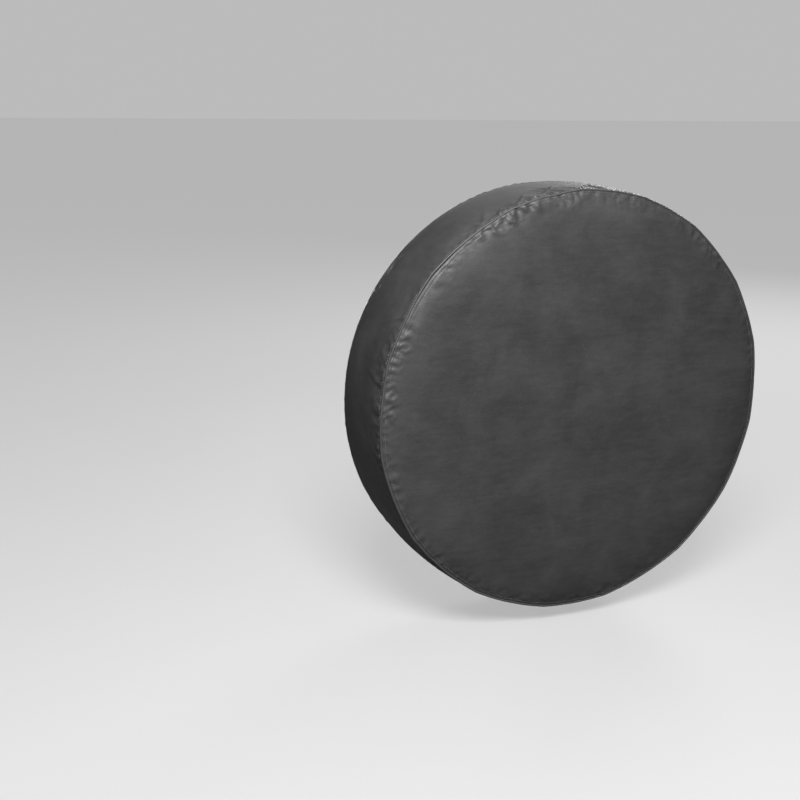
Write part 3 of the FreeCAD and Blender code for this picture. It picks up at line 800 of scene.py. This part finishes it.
# the lap where the band's two ends are joined, under the cover
lap_y = np.linspace(-86, 88, 60)
lap_s = np.array([-10, -9.6, -8, -6.5, -4, 0, 4, 6.5, 8, 9.6, 10.0])
mid_rows = np.array([i for i in range(len(band_path)) if -91.5 <= band_path[i, 1] <= 94 and band_path[i, 0] > 416])
lap_th = -math.pi / 2 + lap_s / 418.0
grid = []
for y in lap_y:
    j = int(np.searchsorted(band_path[mid_rows, 1], y))
    j = max(1, min(j, len(mid_rows) - 1))
    y0, y1 = band_path[mid_rows[j - 1], 1], band_path[mid_rows[j], 1]
    f = (y - y0) / (y1 - y0)
    pa, _, _ = sample(band_rows, mid_rows[j - 1], lap_th)
    pb, _, _ = sample(band_rows, mid_rows[j], lap_th)
    p = pa * (1 - f) + pb * f
    rad = np.hypot(p[:, 0], p[:, 2])
    lift = 1.35 - 0.25 * np.exp(-((np.abs(lap_s) - 6.5) / 0.9) ** 2) + 0.12 * np.sin(y * 0.23 + lap_s * 0.3)
    grid.append(np.stack([p[:, 0] / rad * (rad + lift), p[:, 1], p[:, 2] / rad * (rad + lift)], -1))
grid = np.array(grid)
lap = make_mesh("band_lap", grid, [grid_faces(len(lap_y), len(lap_s), wrap=False)], [FABRIC, BACKING])
thicken(lap, 1.15, inner=1)
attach(lap, "cover")
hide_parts("side_band")
P, T, N = [], [], []
for col in (3, 7):
    line = grid[:, col]
    seg = np.linalg.norm(np.diff(line, axis=0), axis=1)
    s = np.concatenate([[0], np.cumsum(seg)])
    for d in np.arange(3.5, s[-1] - 3, 5.0):
        p = np.array([np.interp(d, s, line[:, c]) for c in range(3)])
        P.append(p + np.array([p[0], 0, p[2]]) / np.hypot(p[0], p[2]) * 0.12)
        T.append([0, 1, 0])
        N.append([p[0], 0, p[2]])
join = stitch_mesh("band_join_rows", P, T, N, 4.0, 0.40, [THREAD])
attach(join, "cover")
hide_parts("band_join_stitches")

# ------------------------------------------------------------------ binding over the raw edges, seen from inside
tape_path = np.array([(411.3, -94.3), (408.5, -94.25), (406.0, -94.3), (403.5, -94.25), (401.9, -94.5), (401.0, -95.3), (400.8, -96.4), (401.0, -97.5), (401.9, -98.2), (404.5, -98.4), (408.0, -98.4)])[::-1]
tn = path_normals(tape_path)
wob = 0.35 * ring_noise(71, 190)(TH) + 0.35 * ring_noise(72, 70)(TH)
tr = tape_path[:, 0][:, None] + wob[None, :] * 0.9 + (DR * 0.6)[None, :]
ty = tape_path[:, 1][:, None] + (DY * 0.7)[None, :] + 0.3 * ring_noise(73, 240)(TH)[None, :] * np.array([0.2, 0.4, 0.7, 0.8, 0.8, 0.9, 1, 1, 1, 1, 1.2])[:, None]
tape_rows = np.stack([tr * np.cos(TH)[None, :], ty, tr * np.sin(TH)[None, :]], -1)
tape = make_mesh("seam_binding_tape", tape_rows, [grid_faces(len(tape_path), NTH)[:, ::-1]], [TAPE])
thicken(tape, 0.5)
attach(tape, "cover")
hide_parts("seam_binding")

# ------------------------------------------------------------------ rear return: sixteen gathers that overlap like pleats
STEP = TAU / N_RETURN
COLS = 89
U = np.linspace(-1, 1, COLS)
g1, g2, g3, g4 = lattice(81, 96, 64), lattice(82, 250, 64), lattice(83, 52, 64), lattice(84, 400, 64)


ruffle_r = np.concatenate([[413.0, 411.0, 408.5], np.linspace(405, 303, 27)])
ruffle = (0.9 * noise2(g1, (TH / TAU % 1.0)[None, :] * 96, (413 - ruffle_r[:, None]) / 60 + 3) + 0.5 * noise2(g2, (TH / TAU % 1.0)[None, :] * 250, (413 - ruffle_r[:, None]) / 43 + 7)
          ) * smooth((409 - ruffle_r) / 55)[:, None]
sheet = np.stack([ruffle_r[:, None] * np.cos(TH)[None, :], ruffle, ruffle_r[:, None] * np.sin(TH)[None, :]], -1)
hold = np.maximum(smooth((ruffle_r - 404) / 4), 0.75 * smooth((314 - ruffle_r) / 6))[:, None] * np.ones(NTH)
slack = smooth((404 - ruffle_r) / 55)[:, None] * np.ones(NTH)
sheet = cloth_sheet("return_ruffles", sheet, hold * 0.999, slack, 0.085, 18, 9.0, bend=0.6)
ruffle = sheet[..., 1]


def ruffle_at(r, th):
    """Height of the ruffles at a radius and angles."""
    u = ((th - TH[0]) / TAU % 1.0) * NTH
    k = np.floor(u).astype(int) % NTH
    f = u - np.floor(u)
    x = np.clip(np.interp(-r, -ruffle_r, np.arange(len(ruffle_r))), 0, len(ruffle_r) - 1.001)
    i = np.floor(x).astype(int)
    v = x - i
    a = ruffle[i, k] * (1 - f) + ruffle[i, (k + 1) % NTH] * f
    b = ruffle[i + 1, k] * (1 - f) + ruffle[i + 1, (k + 1) % NTH] * f
    return a * (1 - v) + b * v


def half_angle(r):
    return deg(11.25) + deg(1.1) * smooth((412.5 - r) / 13) + deg(4.9) * np.clip((408 - r) / 109, 0, 1)


def gather_profile():
    """Rows as (kind, r or angle, height above the hinge plane)."""
    rows = [("plate", 414.3, -3.4), ("plate", 414.1, -1.7), ("plate", 413.7, -0.5), ("plate", 413.0, 0.35), ("plate", 411.9, 0.9), ("plate", 410.2, 1.2), ("plate", 407.8, 1.4)]
    rows += [("plate", r, 1.6) for r in np.linspace(404.5, 328, 20)]
    rows += [("plate", 325.5, 1.5), ("plate", 323.6, 1.35), ("plate", 322.2, 1.25), ("plate", 321.0, 1.25), ("plate", 319.8, 1.7), ("plate", 318.7, 2.9)]
    rows += [("roll", a, 0) for a in (22, 40, 58, 76, 94, 112, 130, 148, 166, 184, 202, 220, 238, 256, 272)]
    rows += [("under", 312.0, -0.45), ("under", 316.0, -0.35), ("under", 320.0, -0.3), ("under", 324.0, -0.3)]
    return rows


def gather_points(index):
    th0 = -math.pi / 2 + index * STEP
    rows = gather_profile()
    R, H = np.zeros((len(rows), COLS)), np.zeros((len(rows), COLS))
    TT = np.zeros((len(rows), COLS))
    narrow = smooth((U - 0.12) / 0.24)                    # the trailing end is slimmer, to lie inside its neighbour's hem
    a_roll, b_roll = 9.2 - 1.7 * narrow, 4.75 - 1.5 * narrow
    for i, (kind, v, h) in enumerate(rows):
        if kind == "roll":
            ang = deg(v)
            r = 308.3 + a_roll * math.cos(ang)
            hh = 4.4 + b_roll * math.sin(ang)
            ref = np.full(COLS, 308.3)
        else:
            r = np.full(COLS, float(v))
            hh = np.full(COLS, float(h))
            ref = r
        if kind == "under":
            hh = hh + 0.55 * narrow
        if kind == "plate" and v < 319.5:
            hh = hh - 0.3 * narrow * (319.5 - v)
            r = r - 1.4 * narrow * smooth((320 - v) / 1.5)
        th = th0 + U * half_angle(ref)
        uu = (th / TAU % 1.0)
        wave = np.clip(ruffle_at(ref, th), -4.0, 4.5)
        near_hem = 1.1 * noise2(g2, uu * 250, np.full(COLS, 5.0)) * np.exp(-np.clip(ref - 321, 0, None) / 16.0)
        if kind == "roll":
            pleat = 0.22 * noise2(g4, uu * 400, np.full(COLS, 3.0)) + 0.62 * noise2(g2, uu * 250, np.full(COLS, 5.0))
            r = r + pleat * math.cos(deg(v)) * 1.2
            hh = hh + pleat * math.sin(deg(v)) + np.clip(0.22 * wave, -0.9, 0.9)
        else:                                             # the cloth and the turned-under edge below it move together
            tilt = -1.8 * smooth((413 - ref) / 28) * U * (0.48 + 0.52 * smooth((ref - 321) / 22))
            hh = hh + tilt + wave * (0.22 + 0.78 * smooth((ref - 320) / 20)) + near_hem * smooth((ref - 316) / 4)
            if kind == "plate":
                hh = hh - 0.35 * np.exp(-((ref - 321.2) / 1.2) ** 2)
        R[i], H[i], TT[i] = r, hh, th
    return polar(R, TT, HINGE_Y + H)


def sweep_blend(ob, index, r_start=7.0, r_end=30.0):
    a = -math.pi / 2 + index * STEP
    rad = np.array([math.cos(a), 0, math.sin(a)])
    s = rad * (HINGE_R - r_start) * MM
    e = rad * (HINGE_R - r_end) * MM
    s[1] = e[1] = HINGE_Y * MM
    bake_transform(ob)


profile = gather_profile()
stitch_row = next(i for i, p in enumerate(profile) if p[0] == "plate" and abs(p[1] - 321.0) < 0.01)
for g in range(N_RETURN):
    body = "return_%02d" % (g + 1)
    pts = gather_points(g)
    ob = make_mesh("return_gather_%02d" % (g + 1), pts, [grid_faces(len(profile), COLS, wrap=False)], [FABRIC, BACKING])
    thicken(ob, 0.8, inner=1)
    sweep_blend(ob, g)
    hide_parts("rear_return_%02d" % (g + 1))
    # the row of stitching that closes the hem
    row = pts[stitch_row]
    seg = np.concatenate([[0], np.cumsum(np.linalg.norm(np.diff(row, axis=0), axis=1))])
    at = np.arange(5.0, seg[-1] - 13.0, 5.0)
    P = np.stack([np.interp(at, seg, row[:, c]) for c in range(3)], -1)
    T = np.stack([np.interp(at + 0.8, seg, row[:, c]) - np.interp(at - 0.8, seg, row[:, c]) for c in range(3)], -1)
    N = np.tile([0.0, 1.0, 0.0], (len(at), 1))
    st = stitch_mesh("hem_stitches_%02d" % (g + 1), P + N * 0.08, T, N, 4.0, 0.36, [THREAD])
    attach(st, body)
    # the length of elastic cord inside this gather's hem
    if g:
        dd = np.linspace(-deg(14.0), deg(14.0), 60)
        th = -math.pi / 2 + g * STEP + dd
        cd = tube_object("hem_cord_%02d" % (g + 1), polar(np.full(60, CORD_RING), th, np.full(60, CORD_Y)), 2.0, [CORD], sides=10,
                         ripple=lambda i, a: 1 + 0.035 * np.cos(4 * a + i * 0.9) * np.cos(4 * a - i * 0.9))
        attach(cd, body)

# ------------------------------------------------------------------ elastic cord at the bottom gather: out through both eyelets and down
phi = math.asin(10.5 / CORD_RING)


def cord_run(sx):
    th = np.linspace(-math.pi / 2 + sx * deg(14.0), -math.pi / 2 + sx * phi, 46)
    ring = polar(np.full(len(th), CORD_RING), th, np.full(len(th), CORD_Y))
    a = ring[-1]
    t = np.array([-sx * math.cos(phi), 0, -math.sin(phi)])
    up = np.array([0, 1.0, 0])
    q = np.linspace(0, math.pi / 2, 9)[1:]
    bend1 = a + np.outer(np.sin(q), t) * 3.5 + np.outer(1 - np.cos(q), up) * 3.5
    b = bend1[-1]
    rise = np.array([[b[0], y, b[2]] for y in np.linspace(b[1], 109.5, 5)[1:]])
    q2 = np.linspace(0, math.pi / 2, 10)[1:]
    bend2 = np.stack([np.full(9, b[0]), 109.5 + 4.5 * np.sin(q2), b[2] - 4.5 * (1 - np.cos(q2))], -1)
    zz = np.arange(bend2[-1, 2] - 1.2, -395.0, -1.2)
    hang = np.stack([np.full(len(zz), b[0]), np.full(len(zz), 114.0), zz], -1)
    return np.concatenate([ring, bend1, rise, bend2, hang])


for sx, nm in ((-1, "a"), (1, "b")):
    line = cord_run(sx)
    ob = tube_object("draw_cord_" + nm, line, 2.18, [CORD], sides=16,
                     ripple=lambda i, a: 1 + 0.045 * np.cos(4 * a + i * 0.8) * np.cos(4 * a - i * 0.8))
    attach(ob, "return_01")
    if sx < 0:
        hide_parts("elastic_cord")


# ------------------------------------------------------------------ eyelets
def lathe_y(name, profile_pts, centre, mats, sides=40):
    pr = np.array(profile_pts, float)
    th = TAU * np.arange(sides) / sides
    co = np.stack([centre[0] + pr[:, 0][:, None] * np.cos(th)[None, :], centre[1] + pr[:, 1][:, None] + 0 * th[None, :], centre[2] + pr[:, 0][:, None] * np.sin(th)[None, :]], -1)
    closed = np.concatenate([co, co[:1]])
    n = len(pr)
    m = np.arange(n)[:, None]
    k = np.arange(sides)[None, :]
    kn = (k + 1) % sides
    mn = (m + 1) % n
    q = np.stack([m * sides + k, mn * sides + k, mn * sides + kn, m * sides + kn], -1).reshape(-1, 4)
    return make_mesh(name, co, [q], mats)


eye = [(2.62, -2.0), (2.62, 0.1), (2.75, 0.45), (3.1, 0.78), (3.6, 0.86), (4.2, 0.72), (4.75, 0.42), (5.0, 0.1), (4.9, -0.05), (4.3, -0.02), (3.3, -0.02), (3.05, -0.3), (3.05, -1.9), (2.9, -2.1)]
for sx, nm in ((-1, "a"), (1, "b")):
    ob = lathe_y("hem_eyelet_" + nm, eye, (sx * 7.0, 108.05, -308.0), [LACQUER])
    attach(ob, "return_01")
    if sx < 0:
        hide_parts("hem_eyelets", "eyelet_washers")

# ------------------------------------------------------------------ care label, blank, sewn under the hem
lc, lr = 15, 34
ls = np.linspace(-17, 17, lc)
ln = np.linspace(0, 1, lr)
ang = -math.pi / 2 + 2 * STEP
er, et = np.array([math.cos(ang), 0, math.sin(ang)]), np.array([-math.sin(ang), 0, math.cos(ang)])
pts = np.zeros((lr, lc, 3))
for i, v in enumerate(ln):
    for j, s in enumerate(ls):
        r = 318 - 61 * v
        drop = -1.3 - 0.4 * v - 3.4 * smooth(np.array((v - 0.25) / 0.75)) ** 1.3 + 0.9 * math.sin(s * 0.16 + 2.2 * v) * v + 0.0045 * s * s * v
        pts[i, j] = er * r + et * s * (1 - 0.012 * v) + np.array([0, HINGE_Y + float(drop), 0])
label = make_mesh("care_label_ribbon", pts, [grid_faces(lr, lc, wrap=False)], [LABEL])
thicken(label, 0.3)
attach(label, "return_03")
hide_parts("care_label")

# ------------------------------------------------------------------ the cord lock keeps its CAD shape; ribs on its button
for node, m in (("cord_lock_body", PLASTIC), ("cord_lock_button", PLASTIC), ("cord_end_caps", PLASTIC)):
    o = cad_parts[node]
    o.data.materials.clear()
    o.data.materials.append(m)

SPRING_FOOT, SPRING_LEN = 105.8500, 11.8000      # the spring stands on the lock body's floor, built at full length; a real one shortens as the button goes in
w = np.linspace(0, 5.5 * TAU, 176)
coil_y = SPRING_FOOT + SPRING_LEN * (0.04 + 0.92 * w / w[-1])
coil_y = np.where(w < 0.75 * TAU, SPRING_FOOT + 0.02 * SPRING_LEN + (coil_y - SPRING_FOOT - 0.02 * SPRING_LEN) * (w / (0.75 * TAU)) ** 2, coil_y)
coil = tube_object("lock_spring_coil", np.stack([2.5 * np.cos(w), coil_y, -330.0000 + 2.5 * np.sin(w)], -1), 0.3, [STEEL], sides=10)
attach(coil, "cord_lock")
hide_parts("cord_lock_spring")
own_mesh(coil)

P = []
for z in (-333.0, -331.0, -329.0, -327.0):
    P.append([0, 127.0, z])
T = np.tile([1.0, 0, 0], (4, 1))
N = np.tile([0.0, 1.0, 0], (4, 1))
ribs = stitch_mesh("lock_button_ribs", P, T, N, 13.0, 0.55, [PLASTIC], shape=[-0.6, 0.2, 0.2, 0.2, -0.6])
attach(ribs, "lock_button")

# ------------------------------------------------------------------ floor, light, camera
floor_z = cad_lo.z - 0.032           # clear of the open hem and the hanging cord lock
me = bpy.data.meshes.new("floor")
me.from_pydata([(-30, -30, floor_z), (30, -30, floor_z), (30, 30, floor_z), (-30, 30, floor_z)], [], [(0, 1, 2, 3)])
floor = bpy.data.objects.new("floor", me)
bpy.context.scene.collection.objects.link(floor)
fm, fnt, fb = new_mat("studio_floor")
fkn = Nodes(fnt)
fkn.link(fkn.mix(fkn.noise(3.0, 3, 0.5), (0.53, 0.53, 0.53), (0.56, 0.56, 0.56)), fb.inputs["Base Color"])
fb.inputs["Roughness"].default_value = 0.75
# to the camera the floor is an even pale grey with the cover's soft shadow; it throws little light back up at the cover
flp, fdim, fmix = fnt.nodes.new("ShaderNodeLightPath"), fnt.nodes.new("ShaderNodeBsdfDiffuse"), fnt.nodes.new("ShaderNodeMixShader")
fglow, feven = fnt.nodes.new("ShaderNodeEmission"), fnt.nodes.new("ShaderNodeMixShader")
fdim.inputs["Color"].default_value = (0.10, 0.10, 0.10, 1)
fglow.inputs["Color"].default_value = (0.62, 0.62, 0.62, 1)
feven.inputs["Fac"].default_value = 0.30
fnt.links.new(fglow.outputs[0], feven.inputs[1])
fnt.links.new(fb.outputs[0], feven.inputs[2])
fnt.links.new(flp.outputs["Is Camera Ray"], fmix.inputs["Fac"])
fnt.links.new(fdim.outputs[0], fmix.inputs[1])
fnt.links.new(feven.outputs[0], fmix.inputs[2])
fnt.links.new(fmix.outputs[0], [n for n in fnt.nodes if n.type == "OUTPUT_MATERIAL"][0].inputs["Surface"])
me.materials.append(fm)

world = bpy.data.worlds.new("studio")
bpy.context.scene.world = world
world.use_nodes = True
wn = world.node_tree
seen = wn.nodes["Background"]
seen.inputs["Color"].default_value = (0.50, 0.50, 0.50, 1)
lit = wn.nodes.new("ShaderNodeBackground")          # a soft sky: bright overhead, dimmer towards the horizon
wtc, wsep = wn.nodes.new("ShaderNodeTexCoord"), wn.nodes.new("ShaderNodeSeparateXYZ")
wmap = wn.nodes.new("ShaderNodeMapRange")
wmap.interpolation_type = "SMOOTHSTEP"
wmap.inputs["From Min"].default_value, wmap.inputs["From Max"].default_value = 0.15, 0.95
wmap.inputs["To Min"].default_value, wmap.inputs["To Max"].default_value = 0.04, 0.20
wn.links.new(wtc.outputs["Generated"], wsep.inputs[0])
wn.links.new(wsep.outputs["Z"], wmap.inputs["Value"])
wn.links.new(wmap.outputs["Result"], lit.inputs["Strength"])
lit.inputs["Color"].default_value = (1, 1, 1, 1)
wlp, wmix = wn.nodes.new("ShaderNodeLightPath"), wn.nodes.new("ShaderNodeMixShader")
wn.links.new(wlp.outputs["Is Camera Ray"], wmix.inputs["Fac"])
wn.links.new(lit.outputs[0], wmix.inputs[1])
wn.links.new(seen.outputs[0], wmix.inputs[2])
wn.links.new(wmix.outputs[0], wn.nodes["World Output"].inputs["Surface"])


def softbox(name, at, look, size, power, colour=(1, 1, 1)):
    d = bpy.data.lights.new(name, "AREA")
    d.shape, d.size, d.size_y, d.energy, d.color = "RECTANGLE", size[0], size[1], power, colour
    o = bpy.data.objects.new(name, d)
    bpy.context.scene.collection.objects.link(o)
    o.location = at
    o.rotation_mode = "QUATERNION"
    o.rotation_quaternion = (Vector(look) - Vector(at)).to_track_quat("-Z", "Y")
    o.visible_camera = False
    return o


softbox("front", (-1.0, -1.95, 1.95), (0, 0, 0), (1.2, 1.0), 224)
softbox("back", (1.5, 2.7, 1.25), (0, 0, 0.2), (2.2, 0.9), 9)
softbox("rear", (3.1, 2.6, 2.1), (0, 0, 0), (1.7, 1.5), 120)
fill = softbox("rear_fill", (0.5, 3.0, 0.1), (0, 0, 0.12), (1.0, 0.5), 3.2)
fill.data.spread = deg(40)                          # a narrow beam that stays off the floor

# camera: the distance, angles and lens from which the cover's face is seen as in its reference view
cam_d = bpy.data.cameras.new("camera")
cam = bpy.data.objects.new("camera", cam_d)
bpy.context.scene.collection.objects.link(cam)
az, el, roll = deg(-30.95), deg(14.13), deg(1.01)
tx, ty = deg(-8.009), deg(-0.186)
ref = Vector((0, -0.0985, 0))
back = Vector((math.sin(az) * math.cos(el), -math.cos(az) * math.cos(el), math.sin(el)))
pos = ref + back * (6 * 0.418)
fwd = -back
right = fwd.cross(Vector((0, 0, 1))).normalized()
up = right.cross(fwd)
view = (fwd + right * math.tan(tx) + up * math.tan(ty)).normalized()
r2 = view.cross(Vector((0, 0, 1))).normalized()
u2 = r2.cross(view)
cr = r2 * math.cos(roll) + u2 * math.sin(roll)
cu = u2 * math.cos(roll) - r2 * math.sin(roll)
m = Matrix((cr, cu, -view)).transposed().to_4x4()
m.translation = pos
cam.matrix_world = m
cam_d.sensor_width = 36.0
cam_d.lens = 1272.5 / 800 * 36.0
cam_d.clip_start, cam_d.clip_end = 0.05, 200
bpy.context.scene.camera = cam
bpy.context.scene.view_settings.view_transform = "Standard"
